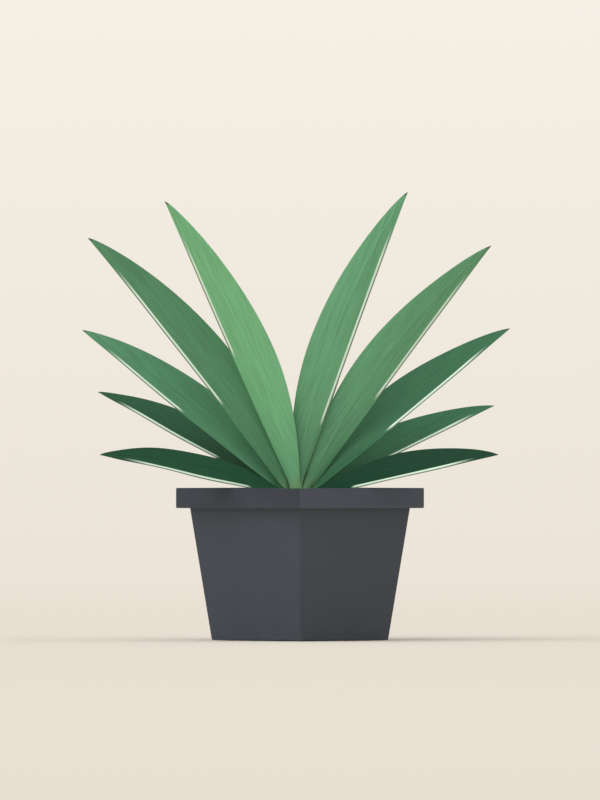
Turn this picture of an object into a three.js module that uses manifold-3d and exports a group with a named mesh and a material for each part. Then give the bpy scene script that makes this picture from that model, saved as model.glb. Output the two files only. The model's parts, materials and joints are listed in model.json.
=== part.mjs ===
// Potted dracaena: a young plant on one short cane, in a square tapered planter.
// Millimetres, +Z up. The origin is the middle of the planter's flat underside.
// The planter stands corner-on: its four corners point along +X, +Y, -X and -Y.

import * as THREE from 'three';
import { mergeVertices } from 'three/addons/utils/BufferGeometryUtils.js';
import Module from 'manifold-3d';

const wasm = await Module();
wasm.setup();

// ---- driving dimensions ----

const gap = 0.3;                 // clearance between pieces that rest on each other

const potHeight = 109.5;
const rimHeight = 14.5;          // height of the downturned lip
const rimHalf = 63.8;            // half the distance between opposite faces of the lip
const bodyTopHalf = 56.3;        // half the distance between opposite walls, under the lip
const footHalf = 45.2;           // the same at the foot
const potCorner = 2.2;           // radius of the upright corners
const innerCorner = 1.2;         // the same inside the walls and the lip
const wall = 2.8;
const edgeBevel = 0.7;
const drainHoleDiameter = 8;
const drainHoleSides = 16;
const drainHoleReach = 45;       // distance of each drain hole from the middle of the floor

const soilDepthBelowRim = 12;
const soilMound = 1.6;           // rise of the soil from the wall to the cane

const caneX = -1.5;              // the cane stands a little left of the middle
const caneRadius = 6.6;
const caneFoot = 48;             // height of the buried end of the cane
const caneTop = 114;
// The cane's radius at some heights, as a share of caneRadius. It narrows above the soil,
// where the youngest leaves grow.
const caneProfile = [
  [caneFoot, 0.55], [56, 0.85], [80, 1], [94, 1.04], [99, 1], [103, 0.7], [108, 0.42], [caneTop, 0.27],
];
const caneSides = 12;
const rootCount = 6;
const firstRoot = 0.35;          // bearing of the first root, as a share of the angle between roots
const rootStarts = [54, 59];     // heights at which successive roots leave the cane, in turn
const rootDrops = [16, 23, 30];  // how far successive roots fall on their way out, in turn
const rootReach = 26;
const rootRadius = 2.2;
const rootTaper = [1, 0.9, 0.75, 0.6, 0.35];    // radius at each of its places, as a share of rootRadius
const rootPlaces = [0.1, 0.35, 0.6, 0.85, 1];   // how far out each place is, as a share of rootReach
const rootCurl = 0.5;            // how far a root turns aside on its way out, in radians
const rootSides = 6;

const bladeThickness = 1.1;
const bladeEdgeThickness = 0.6;
const bladePoint = 0.5;          // half the width of the small blunt point at the tip
const bladeSteps = 18;           // steps from base to tip
const bladeAcross = 4;           // strips from edge to edge
const baseWidthShare = 0.15;     // width where the blade clasps the cane, as a share of the widest
const widestAt = 0.47;           // where the blade is widest, from base to tip
const tipFullness = 0.8;         // below 1, the half towards the tip is fuller than the half below
const openRoll = 14;             // degrees that each half of an open blade curls up
const clasp = 16;                // degrees more at the base, where the blade clasps the cane
const claspLength = 0.05;        // how quickly the clasp opens, as a share of the blade's length
const tipTaper = 0.35;           // thickness at the tip, as a share of the full thickness
const taperRate = 4;             // how quickly the full thickness is reached below the tip

const spearPlaces = [0, 0.2, 0.5, 0.8, 1];
const spearRadii = [2.2, 2.6, 2.1, 1.2, 0.4];
const spearLength = 38;
const spearLean = [-1.5, 2];     // how far the spear's tip leans along X and Y
const spearSides = 10;

// ---- materials ----

function matt(color, roughness) {
  return new THREE.MeshStandardMaterial({ color, roughness, metalness: 0 });
}

const charcoalPlastic = matt(0x484b50, 0.7);
const darkSoil = matt(0x2e241c, 1);
const paleBark = matt(0x8a7a5c, 0.9);
const leafRoughness = 0.42;
const spearColor = 0x8fc08a;

// ---- closed solids from rings of points ----

// Joins rings of equal length into one closed body. Each ring runs anticlockwise seen from its
// far side, and the first and last ring are closed by a fan round their own middle.
function loft(rings) {
  const positions = rings.flat().flatMap((point) => [point.x, point.y, point.z]);
  const count = rings[0].length;
  const triangles = [];
  for (let ring = 0; ring + 1 < rings.length; ring += 1) {
    for (let i = 0; i < count; i += 1) {
      const a = ring * count + i;
      const b = ring * count + (i + 1) % count;
      triangles.push(a, b, b + count, a, b + count, a + count);
    }
  }
  const capStart = positions.length / 3;
  for (const [ring, flip] of [[0, true], [rings.length - 1, false]]) {
    const middle = new THREE.Vector3();
    rings[ring].forEach((point) => middle.addScaledVector(point, 1 / count));
    positions.push(middle.x, middle.y, middle.z);
    const centre = flip ? capStart : capStart + 1;
    for (let i = 0; i < count; i += 1) {
      const a = ring * count + i;
      const b = ring * count + (i + 1) % count;
      triangles.push(...(flip ? [b, a, centre] : [a, b, centre]));
    }
  }
  const geometry = new THREE.BufferGeometry();
  geometry.setAttribute('position', new THREE.Float32BufferAttribute(positions, 3));
  geometry.setIndex(triangles);
  return geometry;
}

function toSolid(geometry) {
  const bare = geometry.clone();
  bare.deleteAttribute('normal');
  bare.deleteAttribute('uv');
  const merged = mergeVertices(bare, 1e-4);
  return new wasm.Manifold(new wasm.Mesh({
    numProp: 3,
    vertProperties: new Float32Array(merged.getAttribute('position').array),
    triVerts: new Uint32Array(merged.getIndex().array),
  }));
}

function toGeometry(solid) {
  const mesh = solid.getMesh();
  const geometry = new THREE.BufferGeometry();
  const places = new Float32Array(mesh.vertProperties);
  geometry.setAttribute('position', new THREE.BufferAttribute(places, 3));
  geometry.setIndex(new THREE.BufferAttribute(new Uint32Array(mesh.triVerts), 1));
  return geometry;
}

// ---- planter ----

// A square with rounded corners, turned so that its corners lie on the X and Y axes.
function squareRing(half, z, radius = potCorner, stepsPerCorner = 3) {
  const ring = [];
  for (let corner = 0; corner < 4; corner += 1) {
    const towards = corner * Math.PI / 2;
    const middleReach = (half - radius) * Math.SQRT2;
    for (let step = 0; step <= stepsPerCorner; step += 1) {
      const angle = towards + (step / stepsPerCorner - 0.5) * Math.PI / 2;
      ring.push(new THREE.Vector3(
        middleReach * Math.cos(towards) + radius * Math.cos(angle),
        middleReach * Math.sin(towards) + radius * Math.sin(angle),
        z,
      ));
    }
  }
  return ring;
}

const bodyFlare = (bodyTopHalf - footHalf) / (potHeight - rimHeight);
const outerHalfAt = (z) => footHalf + bodyFlare * z;
const innerHalfAt = (z) => outerHalfAt(z) - wall;

function planterGeometry() {
  const lipUnderside = potHeight - rimHeight;
  const lipInnerHalf = rimHalf - wall;
  const flangeUnderside = potHeight - wall;
  const shell = loft([
    squareRing(footHalf - edgeBevel, 0),
    squareRing(outerHalfAt(edgeBevel), edgeBevel),
    squareRing(outerHalfAt(flangeUnderside), flangeUnderside),
    squareRing(lipInnerHalf, flangeUnderside, innerCorner),
    squareRing(lipInnerHalf, lipUnderside + edgeBevel / 2, innerCorner),
    squareRing(lipInnerHalf + edgeBevel / 2, lipUnderside, innerCorner),
    squareRing(rimHalf - edgeBevel, lipUnderside),
    squareRing(rimHalf, lipUnderside + edgeBevel),
    squareRing(rimHalf, potHeight - edgeBevel),
    squareRing(rimHalf - edgeBevel, potHeight),
    squareRing(innerHalfAt(potHeight) + edgeBevel, potHeight, innerCorner),
    squareRing(innerHalfAt(potHeight - edgeBevel), potHeight - edgeBevel, innerCorner),
    squareRing(innerHalfAt(wall), wall, innerCorner),
  ]);
  let solid = toSolid(shell);
  for (let hole = 0; hole < 4; hole += 1) {
    const angle = hole * Math.PI / 2;
    const radius = drainHoleDiameter / 2;
    const drill = new THREE.CylinderGeometry(radius, radius, 4 * wall, drainHoleSides);
    drill.rotateX(Math.PI / 2);
    drill.translate(drainHoleReach * Math.cos(angle), drainHoleReach * Math.sin(angle), wall / 2);
    solid = solid.subtract(toSolid(drill));
  }
  return toGeometry(solid);
}

// ---- cane and roots ----

// A round tube along a list of places, each with its own radius.
function taperedTube(places, radii, sides) {
  const path = new THREE.CatmullRomCurve3(places);
  const rings = places.map((place, i) => {
    const along = path.getTangent(i / (places.length - 1));
    const across = new THREE.Vector3(0, 1, 0).cross(along).normalize();
    const third = along.clone().cross(across).normalize();
    const ring = [];
    for (let side = 0; side < sides; side += 1) {
      const angle = side / sides * 2 * Math.PI;
      ring.push(place.clone()
        .addScaledVector(across, radii[i] * Math.cos(angle))
        .addScaledVector(third, radii[i] * Math.sin(angle)));
    }
    return ring;
  });
  return loft(rings);
}

function rootTube(number, extra) {
  const angle = (number + firstRoot) / rootCount * 2 * Math.PI;
  const drop = rootDrops[number % rootDrops.length];
  const start = rootStarts[number % rootStarts.length];
  // A wider root is also a longer one, so that the hollow round a root clears its end.
  const endShare = 1 + 1.5 * extra / rootReach;
  const places = rootPlaces.map((share) => {
    const reach = share === 1 ? endShare : share;
    return new THREE.Vector3(
      caneX + rootReach * reach * Math.cos(angle + rootCurl * reach),
      rootReach * reach * Math.sin(angle + rootCurl * reach),
      start - drop * reach * reach,
    );
  });
  return taperedTube(places, rootTaper.map((share) => rootRadius * share + extra), rootSides);
}

// The cane with its roots; extra makes every radius larger, for the hollow in the soil.
function caneSolid(extra) {
  const places = caneProfile.map(([z]) => new THREE.Vector3(caneX, 0, z));
  places[0].z -= extra;
  const radii = caneProfile.map(([, share]) => share * caneRadius + extra);
  let solid = toSolid(taperedTube(places, radii, caneSides));
  for (let root = 0; root < rootCount; root += 1) {
    solid = solid.add(toSolid(rootTube(root, extra)));
  }
  return solid;
}

// ---- soil ----

function soilGeometry() {
  const soilTop = potHeight - soilDepthBelowRim;
  const bottom = wall + gap;
  const sideGap = gap / Math.cos(Math.atan(bodyFlare));
  const bottomHalf = innerHalfAt(bottom) - sideGap;
  const topHalf = innerHalfAt(soilTop) - sideGap;
  // Each step of the mound is [share of the half width, share of the rise].
  const mound = [[1, 0], [0.72, 0.45], [0.35, 0.9], [0.2, 1]];
  const block = loft([
    squareRing(bottomHalf, bottom, innerCorner),
    ...mound.map(([width, risen]) => squareRing(width * topHalf, soilTop + risen * soilMound, innerCorner)),
  ]);
  return toGeometry(toSolid(block).subtract(caneSolid(gap)));
}

// ---- leaves ----

// Every leaf grows from the cane at base = [bearing in degrees, distance from the cane's axis,
// height] and ends at tip = [x, y, z]. Bearing 0 points along +X, and 270 to the front.
// width is the true width of the blade. turn is how far the blade's broad side is turned away
// from the front: 0 shows it fully, 90 lays it face up; a negative turn shows the underside.
// sweep above 1 lets the leaf rise first and lean forward or back later. bow is how far the
// lower edge sags below a straight line from base to tip.
const frontLeaves = [
  {
    name: 'leaf_left_1', color: 0x70a675,
    base: [262, 7.2, 106.2], tip: [-96.8, -88, 315], width: 31.2, turn: -21, sweep: 1.6, bow: 1.5,
  },
  {
    name: 'leaf_left_2', color: 0x53815c,
    base: [198, 6.2, 105], tip: [-152.3, -42, 289], width: 32.4, turn: 26, sweep: 2, bow: -0.8,
  },
  {
    name: 'leaf_left_3', color: 0x4a7655,
    base: [168, 6.2, 104], tip: [-157, 26, 223], width: 31.9, turn: 38, sweep: 1.5, bow: 2.7,
  },
  {
    name: 'leaf_left_4', color: 0x30553d,
    base: [144, 7.4, 103], tip: [-146.5, 104, 178.5], width: 29, turn: 46, sweep: 1.3, bow: 1.6,
  },
  {
    name: 'leaf_left_5', color: 0x294d37,
    base: [222, 9, 103.1], tip: [-143, -104, 133.5], width: 27.2, turn: 53, sweep: 1.25, bow: 1.4,
  },
  {
    name: 'leaf_right_1', color: 0x65986d,
    base: [254, 4.8, 107.2], tip: [77.4, -38, 322], width: 29, turn: -4, sweep: 1.2, bow: -0.4,
  },
  {
    name: 'leaf_right_2', color: 0x5d8d65,
    base: [345, 5.9, 105.5], tip: [136.8, -92, 283], width: 29.4, turn: -14, sweep: 2.8, bow: 0,
  },
  {
    name: 'leaf_right_3', color: 0x406b4d,
    base: [12, 6.2, 104], tip: [151.6, 48, 224.3], width: 31.4, turn: 38, sweep: 1.4, bow: 2.3,
  },
  {
    name: 'leaf_right_4', color: 0x396247,
    base: [36, 7.4, 103], tip: [140.8, 118, 168.5], width: 29, turn: 44.7, sweep: 1.3, bow: 1.6,
  },
  {
    name: 'leaf_right_5', color: 0x254834,
    base: [325, 8.4, 103], tip: [141.8, -96, 133.5], width: 28, turn: 52.4, sweep: 1.25, bow: 2.1,
  },
  {
    name: 'leaf_back_1', color: 0x4a7655,
    base: [125, 4.8, 107], tip: [-66, 96, 268], width: 21, turn: 20, sweep: 1.5, bow: 0,
  },
  {
    name: 'leaf_back_2', color: 0x4a7655,
    base: [65, 4.8, 107.5], tip: [58, 104, 276], width: 21, turn: 20, sweep: 1.5, bow: 0,
  },
];

// These lean straight back, face up, and arch in their own upright plane.
const archingLeaves = [
  {
    name: 'leaf_back_3', color: 0x30553d,
    base: [112, 7, 103.5], tip: [-52, 160, 158], width: 27, arch: 16,
  },
  {
    name: 'leaf_back_4', color: 0x294d37,
    base: [90, 8.6, 101], tip: [4, 172, 128], width: 27, arch: 20,
  },
  {
    name: 'leaf_back_5', color: 0x30553d,
    base: [66, 7, 104.5], tip: [62, 150, 156], width: 26, arch: 16,
  },
];

const up = new THREE.Vector3(0, 0, 1);
const back = new THREE.Vector3(0, 1, 0);
const degrees = Math.PI / 180;

// Width of the blade at t, from 0 at the base to 1 at the tip, as a share of its widest.
const widestPower = Math.log(0.5) / Math.log(widestAt);
function widthShare(t) {
  const swell = Math.max(0, Math.sin(Math.PI * t ** widestPower));
  const fuller = t > widestAt ? swell ** tipFullness : swell;
  return fuller + baseWidthShare * (1 - t) ** 3;
}

// The middle line of a leaf, as a function of t, with the directions that its blade is laid in.
function leafLine(leaf) {
  const [bearing, reach, height] = leaf.base;
  const base = new THREE.Vector3(
    caneX + reach * Math.cos(bearing * degrees),
    reach * Math.sin(bearing * degrees),
    height,
  );
  const chord = new THREE.Vector3(...leaf.tip).sub(base);
  const facesFront = leaf.turn !== undefined;
  const turn = (facesFront ? leaf.turn : 90) * degrees;
  const arch = facesFront ? leaf.width * Math.cos(turn) / 2 - leaf.bow : leaf.arch;
  const sweep = leaf.sweep ?? 1;
  const chordInPlane = chord.clone();
  if (facesFront) chordInPlane.y = 0;
  chordInPlane.normalize();
  const rise = up.clone().addScaledVector(chordInPlane, -up.dot(chordInPlane)).normalize();
  const sideways = facesFront ? back : chordInPlane.clone().cross(up).normalize();
  const centreAt = (t) => base.clone()
    .addScaledVector(chord, t)
    .addScaledVector(rise, arch * (widthShare(t) - baseWidthShare * (1 - t)))
    .addScaledVector(back, chord.y * (t ** sweep - t));
  return { centreAt, rise, sideways, turn };
}

// Where the blade lies at t: its direction, the direction across it and the one out of its face.
function bladeFrame(line, t) {
  const nearby = 0.002;
  const before = line.centreAt(Math.max(0, t - nearby));
  const along = line.centreAt(Math.min(1, t + nearby)).sub(before).normalize();
  const inPlane = line.rise.clone().addScaledVector(along, -line.rise.dot(along)).normalize();
  const outOfPlane = along.clone().cross(inPlane);
  if (outOfPlane.dot(line.sideways) < 0) outOfPlane.negate();
  const across = inPlane.clone().multiplyScalar(Math.cos(line.turn));
  across.addScaledVector(outOfPlane, Math.sin(line.turn));
  const face = inPlane.clone().multiplyScalar(Math.sin(line.turn));
  face.addScaledVector(outOfPlane, -Math.cos(line.turn));
  if (line.turn < 0) face.negate();
  return { along, across, face };
}

function leafGeometry(leaf) {
  const line = leafLine(leaf);
  const rings = [];
  for (let step = 0; step <= bladeSteps; step += 1) {
    const t = step / bladeSteps;
    const centre = line.centreAt(t);
    const { along, across, face } = bladeFrame(line, t);
    const halfWidth = Math.max(bladePoint, leaf.width * widthShare(t) / 2);
    const roll = (openRoll + clasp * Math.exp(-t / claspLength)) * degrees;
    const taper = Math.min(1, tipTaper + taperRate * (1 - t));
    const upper = [];
    const lower = [];
    for (let strip = 0; strip <= bladeAcross; strip += 1) {
      const share = 2 * strip / bladeAcross - 1;
      const sideOffset = halfWidth * Math.sin(roll * share) / roll;
      const lift = halfWidth * (1 - Math.cos(roll * share)) / roll;
      const thickness = bladeThickness + (bladeEdgeThickness - bladeThickness) * share * share;
      const place = centre.clone().addScaledVector(across, sideOffset).addScaledVector(face, lift);
      upper.push(place.clone().addScaledVector(face, thickness * taper / 2));
      lower.push(place.clone().addScaledVector(face, -thickness * taper / 2));
    }
    const ring = [...upper, ...lower.reverse()];
    const anticlockwise = across.clone().cross(face).dot(along) > 0;
    rings.push(anticlockwise ? ring.reverse() : ring);
  }
  return loft(rings);
}

// The youngest leaf, still rolled into a spear in the middle of the crown.
function spearGeometry() {
  const places = spearPlaces.map((share) => new THREE.Vector3(
    caneX + spearLean[0] * share * share,
    spearLean[1] * share * share,
    caneTop + gap + spearLength * share,
  ));
  return taperedTube(places, spearRadii, spearSides);
}

// ---- assembly ----

const pottedDracaena = new THREE.Group();

function addPiece(name, geometry, material) {
  const mesh = new THREE.Mesh(geometry, material);
  mesh.name = name;
  pottedDracaena.add(mesh);
}

addPiece('planter', planterGeometry(), charcoalPlastic);
addPiece('potting_soil', soilGeometry(), darkSoil);
addPiece('cane_with_roots', toGeometry(caneSolid(0)), paleBark);
for (const leaf of [...frontLeaves, ...archingLeaves]) {
  addPiece(leaf.name, leafGeometry(leaf), matt(leaf.color, leafRoughness));
}
addPiece('spear_leaf', spearGeometry(), matt(spearColor, leafRoughness));

export default pottedDracaena;
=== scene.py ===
# %% [markdown]
# # A young dracaena in a square planter
# The plant has four kinds of piece: a moulded planter, potting soil, a woody cane with its
# roots, and strap leaves that grow round the cane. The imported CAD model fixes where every
# piece is and how big it is. This lesson gives each one its real shape and surface.

# %% Load the frame
import json
import math
import random

import bmesh
import bpy
import numpy as np
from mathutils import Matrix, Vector, noise


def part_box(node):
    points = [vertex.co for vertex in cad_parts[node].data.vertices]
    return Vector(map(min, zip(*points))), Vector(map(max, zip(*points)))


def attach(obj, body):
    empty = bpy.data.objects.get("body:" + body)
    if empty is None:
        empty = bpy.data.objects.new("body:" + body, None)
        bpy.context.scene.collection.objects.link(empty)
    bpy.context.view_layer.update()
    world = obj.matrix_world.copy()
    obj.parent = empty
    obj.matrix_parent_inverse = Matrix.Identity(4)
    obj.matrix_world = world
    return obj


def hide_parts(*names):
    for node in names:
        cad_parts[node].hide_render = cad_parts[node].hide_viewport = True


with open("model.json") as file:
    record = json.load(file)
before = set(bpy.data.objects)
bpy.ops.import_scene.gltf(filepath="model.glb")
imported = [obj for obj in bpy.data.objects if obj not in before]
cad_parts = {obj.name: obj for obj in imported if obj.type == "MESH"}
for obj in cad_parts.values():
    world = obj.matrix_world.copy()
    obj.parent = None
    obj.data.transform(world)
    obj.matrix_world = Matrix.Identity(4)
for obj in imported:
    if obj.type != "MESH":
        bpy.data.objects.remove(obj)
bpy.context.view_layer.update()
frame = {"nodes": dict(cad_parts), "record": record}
MM = 0.001

# %% [markdown]
# ## The camera
# The plant is seen straight from the front at the height of its middle, with no visible
# perspective: the planter's edges stay level. A very long lens from far away does that. The
# floor shows as a narrow band round the planter's foot.

# %% Camera
LENS_MM = 900
SENSOR_MM = 36
FRAME_HEIGHT = 576 * MM  # how much of the studio the picture's height takes in
VIEW_HEIGHT = 172.8 * MM  # the picture's middle, above the floor

camera_distance = FRAME_HEIGHT * LENS_MM / SENSOR_MM
camera_data = bpy.data.cameras.new("studio_camera")
camera_data.lens = LENS_MM
camera_data.sensor_width = SENSOR_MM
camera_data.clip_start = 0.1
camera_data.clip_end = 200
camera = bpy.data.objects.new("studio_camera", camera_data)
bpy.context.scene.collection.objects.link(camera)
camera.location = (0, -camera_distance, VIEW_HEIGHT)
camera.rotation_euler = (math.pi / 2, 0, 0)
bpy.context.scene.camera = camera
print(f"The camera stands {camera_distance:.1f} m in front of the plant")

# %% [markdown]
# ## A way to write materials
# A procedural material is arithmetic on patterns. Wiring each Math node by hand hides that,
# so a small class wraps a node's output: adding or multiplying two of them adds the Math
# node. Every other node comes from one method, which sets the node's settings first and then
# fills its sockets with numbers or with other outputs.


# %% A wrapped output that does arithmetic
class Signal:
    """An output socket of a node. Arithmetic on it adds Math nodes."""

    def __init__(self, nodes, socket):
        self.nodes = nodes
        self.socket = socket

    def math(self, operation, *operands):
        return self.nodes.add("Math", {"operation": operation}, dict(enumerate(operands)))

    def __add__(self, other):
        return self.math("ADD", self, other)

    __radd__ = __add__

    def __sub__(self, other):
        return self.math("SUBTRACT", self, other)

    def __rsub__(self, other):
        return self.math("SUBTRACT", other, self)

    def __mul__(self, other):
        return self.math("MULTIPLY", self, other)

    __rmul__ = __mul__

    def sine(self):
        return self.math("SINE", self)

    def size(self):
        """The value without its sign."""
        return self.math("ABSOLUTE", self)

    def between(self, low, high):
        """0 below low, 1 above high, with a smooth step from one to the other."""
        step = {"interpolation_type": "SMOOTHSTEP"}
        return self.nodes.add("MapRange", step, {"Value": self, "From Min": low, "From Max": high})


# %% The nodes of a material or of the world
class Nodes:
    """A tree of nodes, which grows through one method."""

    def __init__(self, tree):
        self.tree = tree

    def plug(self, socket, value):
        if isinstance(value, Signal):
            self.tree.links.new(value.socket, socket)
        else:
            socket.default_value = value

    def add(self, kind, settings=None, sockets=None, output=0):
        """A node of any kind: its settings first, then what goes into its sockets."""
        node = self.tree.nodes.new("ShaderNode" + kind)
        for key, value in (settings or {}).items():
            setattr(node, key, value)
        for key, value in (sockets or {}).items():
            self.plug(node.inputs[key], value)
        return Signal(self, node.outputs[output])

    def mix(self, factor, first, second):
        """A colour between first and second. The colour sockets of a Mix node are 6 and 7."""
        return self.add("Mix", {"data_type": "RGBA"}, {0: factor, 6: first, 7: second}, output=2)


# %% A finish: one material and its nodes
class Finish(Nodes):
    """One procedural material, with a Principled shader at its end."""

    def __init__(self, name, **constants):
        self.material = bpy.data.materials.new(name)
        self.material.use_nodes = True
        super().__init__(self.material.node_tree)
        self.shader = self.tree.nodes["Principled BSDF"]
        for socket, value in constants.items():
            self.shader.inputs[socket.replace("_", " ")].default_value = value

    def place(self):
        """Where a point is, in the object's own coordinates."""
        return self.add("TexCoord", output=3)

    def patchy(self, vector, scale, detail):
        """Noise between 0 and 1."""
        return self.add("TexNoise", sockets={"Vector": vector, "Scale": scale, "Detail": detail})

    def paint(self, **surface):
        """Joins what varies over the surface to the shader's own sockets."""
        for socket, value in surface.items():
            self.plug(self.shader.inputs[socket.replace("_", " ")], value)
        return self.material


def tone(red, green, blue):
    """A colour given in screen values from 0 to 255, as the linear colour that shaders use."""
    def linear(value):
        share = value / 255
        return share / 12.92 if share <= 0.04045 else ((share + 0.055) / 1.055) ** 2.4

    return (linear(red), linear(green), linear(blue), 1)


print("A mid green in linear light:", [round(c, 3) for c in tone(74, 118, 85)])


# %% [markdown]
# ## Meshes from rings
# Most pieces here are long: a leaf, a cane, the wall of the planter. Each is a row of
# closed outlines, called rings, joined by four-sided faces and closed at both ends. Numbers
# that a material needs, such as how far along the leaf a point is, travel with the mesh as
# named attributes. Faces that point inward are turned round.


# %% Join rings into an object
def object_from_rings(name, rings, attributes=None):
    """rings is an array of stations x points x 3. attributes are arrays of stations x points."""
    stations, around, _ = rings.shape
    first = np.arange(around)
    following = (first + 1) % around
    faces = []
    for station in range(stations - 1):
        here = station * around
        there = here + around
        faces.extend(zip(here + first, here + following, there + following, there + first))
    faces = [tuple(int(corner) for corner in face) for face in faces]
    faces.append(tuple(range(around - 1, -1, -1)))
    faces.append(tuple(range((stations - 1) * around, stations * around)))
    points = rings.reshape(-1, 3)
    if enclosed_volume(points, faces) < 0:
        faces = [face[::-1] for face in faces]
    return object_from_mesh(name, points, faces, attributes)


def enclosed_volume(points, faces):
    """The volume inside a closed mesh. It is below zero when the faces point inward."""
    fans = [(face[0], *pair) for face in faces for pair in zip(face[1:-1], face[2:])]
    first, second, third = (points[list(corners)] for corners in zip(*fans))
    return np.sum(first * np.cross(second, third)) / 6


def object_from_mesh(name, points, faces, attributes=None):
    mesh = bpy.data.meshes.new(name)
    mesh.from_pydata([tuple(point) for point in points], [], faces)
    for key, values in (attributes or {}).items():
        layer = mesh.attributes.new(key, "FLOAT", "POINT")
        layer.data.foreach_set("value", np.asarray(values, dtype=np.float32).ravel())
    mesh.shade_smooth()
    mesh.update()
    made = bpy.data.objects.new(name, mesh)
    bpy.context.scene.collection.objects.link(made)
    return made


# %% Settle a piece in the frame
def settle(piece, material, slot, *nodes):
    """Gives a piece its material and its place in the frame."""
    piece.data.materials.clear()
    piece.data.materials.append(material)
    if nodes:
        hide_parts(*nodes)
    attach(piece, "root")


def smoothstep(low, high, value):
    share = np.clip((np.asarray(value, dtype=float) - low) / (high - low), 0, 1)
    return share * share * (3 - 2 * share)


def level_circle(x, y, height, radius, count):
    """count points evenly round a level circle."""
    turns = np.linspace(0, 2 * math.pi, count, endpoint=False)
    circle = [x + radius * np.cos(turns), y + radius * np.sin(turns), np.full(count, height)]
    return np.stack(circle, axis=1)


print("A quarter of the way up, a smooth step is at", round(float(smoothstep(0, 1, 0.25)), 3))

# %% [markdown]
# ## The planter
# The real planter is one shell of charcoal plastic, about 3 mm thick, with a lip that turns
# down over the top of the walls. A box with a modifier would have no lip. A section through
# the wall, swept round a square with rounded corners, gives every edge its own radius.

# %% Planter sizes, from the frame
_, planter_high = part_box("planter")
pot_height = planter_high.z
pot_corner = 2.2 * MM  # radius of the upright corners of the lip
inner_corner = 1.2 * MM  # the smallest radius of an upright corner, on the inside
wall = 2.8 * MM
rim_height = 14.5 * MM  # height of the lip
lip_foot = pot_height - rim_height
floor_middle = 18 * MM  # half the plain middle of the floor, where the section ends


def half_from_reach(reach, corner):
    """Half the width between faces of a square whose rounded corner reaches this far."""
    return (reach + corner * (math.sqrt(2) - 1)) / math.sqrt(2)


rim_half = half_from_reach(planter_high.x, pot_corner)
foot_half = 45.2 * MM
body_top_half = 56.3 * MM
body_flare = (body_top_half - foot_half) / lip_foot
print(f"The lip is {2 * rim_half / MM:.1f} mm across and the planter {pot_height / MM:.1f} mm high")


# %% The section through the wall
def rounded_section(corners, steps=5):
    """corners are (half width, height, radius). Each becomes a short arc of points."""
    section = []
    for i, (half, height, radius) in enumerate(corners):
        here = Vector((half, height))
        if radius == 0:
            section.append(here)
            continue
        before = Vector(corners[i - 1][:2]) - here
        after = Vector(corners[(i + 1) % len(corners)][:2]) - here
        spread = before.angle(after)
        inset = min(radius / math.tan(spread / 2), 0.49 * before.length, 0.49 * after.length)
        start = here + before.normalized() * inset
        end = here + after.normalized() * inset
        for step in range(steps + 1):
            share = step / steps
            section.append(
                start * (1 - share) ** 2 + here * 2 * share * (1 - share) + end * share**2
            )
    return section


def outer_half(height):
    return foot_half + body_flare * height


def planter_section():
    flange_under = pot_height - wall
    lip_inner = rim_half - wall
    return rounded_section([
        (floor_middle, 0, 0),
        (foot_half, 0, 1.0 * MM),
        (outer_half(flange_under), flange_under, 1.2 * MM),
        (lip_inner, flange_under, 0.8 * MM),
        (lip_inner, lip_foot, 0.7 * MM),
        (rim_half, lip_foot, 0.9 * MM),
        (rim_half, pot_height, 0.9 * MM),
        (outer_half(pot_height) - wall, pot_height, 1.1 * MM),
        (outer_half(wall) - wall, wall, 1.5 * MM),
        (floor_middle, wall, 0),
    ])


section = planter_section()
print("The wall's section has", len(section), "points")


# %% Sweep the section round a square
def square_ring(half, height, corner, arc_steps=8, side_steps=10):
    """A square outline with rounded corners, whose corners lie on the X and Y axes."""
    middle_reach = (half - corner) * math.sqrt(2)

    def on_arc(quarter, turn):
        """A place on a corner's arc. turn goes from -45 degrees to 45."""
        towards = quarter * math.pi / 2
        middle = Vector((math.cos(towards), math.sin(towards))) * middle_reach
        return middle + corner * Vector((math.cos(towards + turn), math.sin(towards + turn)))

    ring = []
    for quarter in range(4):
        turns = [(step / arc_steps - 0.5) * math.pi / 2 for step in range(arc_steps + 1)]
        ring.extend(on_arc(quarter, turn) for turn in turns)
        end = ring[-1]
        next_start = on_arc(quarter + 1, turns[0])
        ring.extend(end.lerp(next_start, step / side_steps) for step in range(1, side_steps))
    return [(point.x, point.y, height) for point in ring]


def corner_radius(half):
    """The upright corners are roundest on the lip, and tighter inside."""
    return max(inner_corner, pot_corner - 0.35 * abs(rim_half - half))


planter_rings = np.array([
    square_ring(point.x, point.y, corner_radius(point.x)) for point in section
])
planter_mesh = object_from_rings("planter_body", planter_rings)
print("Points round each outline of the planter:", planter_rings.shape[1])

# %% [markdown]
# Drain holes go through the floor near the corners, as a moulding tool would leave them. A
# Boolean modifier cuts them, and the cut mesh is kept in its place. A cut can leave two
# points on top of each other, so the mesh is welded afterwards.

# %% Drill the drain holes
DRAIN_REACH = 45 * MM
DRAIN_SIDES = 32
# Height and radius in mm. The hole is rounded where it opens below.
DRAIN_PROFILE = ((-2, 4.8), (0.2, 4.25), (0.7, 4), (3.6, 4), (6, 4))
WELD_WITHIN = 0.002 * MM


def weld(mesh):
    """Merges the points that a cut left on top of each other."""
    loose = bmesh.new()
    loose.from_mesh(mesh)
    bmesh.ops.remove_doubles(loose, verts=loose.verts, dist=WELD_WITHIN)
    bmesh.ops.dissolve_degenerate(loose, edges=loose.edges, dist=WELD_WITHIN)
    loose.to_mesh(mesh)
    loose.free()


def keep_modified(piece):
    """Replaces the mesh with what its modifiers make of it."""
    seen = piece.evaluated_get(bpy.context.evaluated_depsgraph_get())
    mesh = bpy.data.meshes.new_from_object(seen)
    piece.modifiers.clear()
    piece.data = mesh
    weld(mesh)
    mesh.shade_smooth()


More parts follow.
